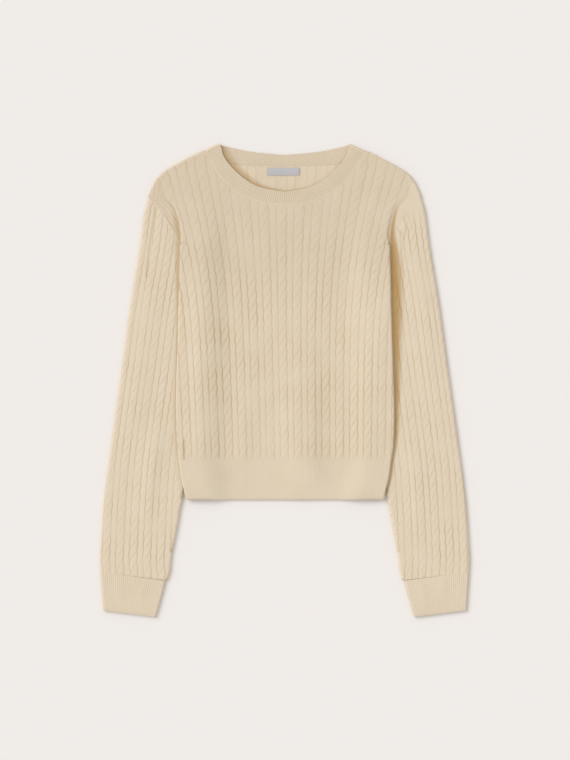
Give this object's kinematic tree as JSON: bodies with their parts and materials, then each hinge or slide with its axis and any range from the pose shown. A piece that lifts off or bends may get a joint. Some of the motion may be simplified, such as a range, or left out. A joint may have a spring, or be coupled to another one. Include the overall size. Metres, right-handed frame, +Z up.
{
  "type": "cable knit sweater, laid flat",
  "caption": "Cropped crew-neck cable knit sweater in cream, laid flat with its long sleeves beside the body, with ribbed hem, cuffs and neckband.",
  "frame": {"origin": "middle of the sweater's box, on the surface that it lies on", "axes": "+Y from the hem towards the neck, +X to the right of someone looking at the front, +Z up out of the front"},
  "size_m": [0.5532, 0.7075, 0.0148],
  "materials": {
    "cable_knit": "matte",
    "rib_knit": "matte",
    "label_ribbon": "satin"
  },
  "bodies": {
    "root": {"body_front": "cable_knit", "body_back": "cable_knit", "hem": "rib_knit", "sleeve_left": "cable_knit", "sleeve_right": "cable_knit", "cuff_left": "rib_knit", "cuff_right": "rib_knit", "neckband": "rib_knit", "neck_label": "label_ribbon"}
  },
  "joints": []
}
